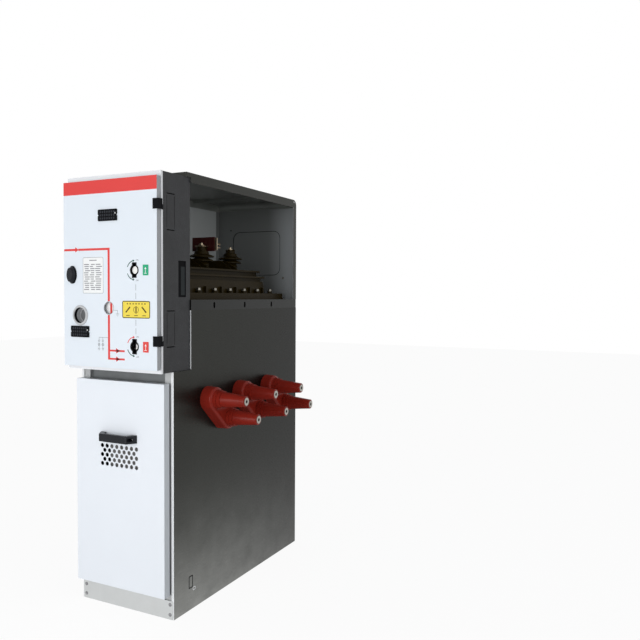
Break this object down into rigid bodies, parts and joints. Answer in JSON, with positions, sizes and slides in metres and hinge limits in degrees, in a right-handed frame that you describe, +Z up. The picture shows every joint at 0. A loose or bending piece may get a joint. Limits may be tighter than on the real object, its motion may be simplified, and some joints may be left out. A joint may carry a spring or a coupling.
{
  "type": "gas insulated load break switch cabinet",
  "caption": "Free-standing steel switchgear panel holding a gas insulated load break switch, with a hinged mechanism door, lift-off cable door and side cone bushings.",
  "frame": {"origin": "centre of the four floor anchor holes, on the floor", "axes": "+Z up, the operating front faces -Y, the side with the cone bushings faces +X"},
  "size_m": [0.7015, 1.1633, 1.85],
  "materials": {
    "door_paint": "satin powder coat",
    "side_sheet_metal": "aluminium-zinc coated sheet, dull",
    "box_paint": "dark grey satin powder coat",
    "zinc": "zinc plated",
    "inner_sheet": "aluminium-zinc coated sheet",
    "switch_epoxy": "dark brown filled epoxy",
    "cone_epoxy": "brick red filled epoxy",
    "insert_metal": "turned",
    "terminal_metal": "tinned brass",
    "black_plastic": "satin",
    "port_plastic": "satin",
    "white_plastic": "satin",
    "main_flag": "satin",
    "earthing_flag": "satin",
    "steel": "machined",
    "frame_paint": "satin powder coat",
    "bolt_metal": "zinc plated",
    "sleeve_red": "dark red heat-shrink sleeve",
    "spring_steel": "oiled"
  },
  "bodies": {
    "cabinet": {"base_rails": "zinc", "box_back": "inner_sheet", "box_ends": "box_paint", "box_front_frame": "frame_paint", "box_side_left": "box_paint", "box_side_right": "box_paint", "busbar_sleeve": "sleeve_red", "busbar_stub": "terminal_metal", "bushing_inserts": "insert_metal", "deck_rails": "side_sheet_metal", "door_hooks": "zinc", "drive_spring": "spring_steel", "flange_bolts": "bolt_metal", "front_frame": "zinc", "hinge_box_leaves": "black_plastic", "left_bay_cover": "inner_sheet", "mechanism_plates": "zinc", "mechanism_spacers": "steel", "plinth_plate": "zinc", "rear_wall_lower": "side_sheet_metal", "rear_wall_upper": "side_sheet_metal", "relief_cover": "inner_sheet", "roof_sheet": "inner_sheet", "side_sheet_left": "side_sheet_metal", "side_sheet_right": "side_sheet_metal", "switch_lower_shell": "switch_epoxy", "switch_terminals": "terminal_metal", "switch_upper_shell": "switch_epoxy", "twin_bushing_front": "cone_epoxy", "twin_bushing_middle": "cone_epoxy", "twin_bushing_rear": "cone_epoxy"},
    "mechanism_door": {"mechanism_door": "door_paint", "keyhole_escutcheons": "port_plastic", "voltage_indicators": "black_plastic", "viewing_port": "port_plastic", "status_flag_main": "main_flag", "status_flag_earthing": "earthing_flag", "lock_rosette": "black_plastic", "hinge_door_leaves": "black_plastic"},
    "lock_knob": {"lock_knob": "black_plastic"},
    "cable_door": {"cable_door": "door_paint", "cable_door_handle": "black_plastic"},
    "main_shaft": {"main_shaft": "steel"},
    "earthing_shaft": {"earthing_shaft": "steel"},
    "position_disc": {"position_disc": "white_plastic"}
  },
  "joints": [
    {"name": "mechanism_door_hinge", "type": "hinge", "parent": "cabinet", "child": "mechanism_door", "pos_m": [0.2545, -0.6, 1.4], "axis": [0, 0, 1], "range_deg": [0, 110]},
    {"name": "lock_knob_turn", "type": "hinge", "parent": "mechanism_door", "child": "lock_knob", "pos_m": [-0.199, -0.62, 1.422], "axis": [0, -1, 0], "range_deg": [0, 90]},
    {"name": "cable_door_lift", "type": "slide", "parent": "cabinet", "child": "cable_door", "axis": [0, 0, 1], "range_m": [0, 0.02]},
    {"name": "main_shaft_turn", "type": "hinge", "parent": "cabinet", "child": "main_shaft", "pos_m": [0.135, -0.5, 1.132], "axis": [0, -1, 0], "range_deg": [0, 90]},
    {"name": "earthing_shaft_turn", "type": "hinge", "parent": "cabinet", "child": "earthing_shaft", "pos_m": [0.135, -0.5, 1.438], "axis": [0, -1, 0], "range_deg": [0, 90]},
    {"name": "position_disc_turn", "type": "hinge", "parent": "cabinet", "child": "position_disc", "pos_m": [0, -0.55, 1.285], "axis": [0, -1, 0], "range_deg": [0, 90]}
  ],
  "couplings": [
    {"joint": "position_disc_turn", "follows": "main_shaft_turn", "ratio": 1}
  ]
}
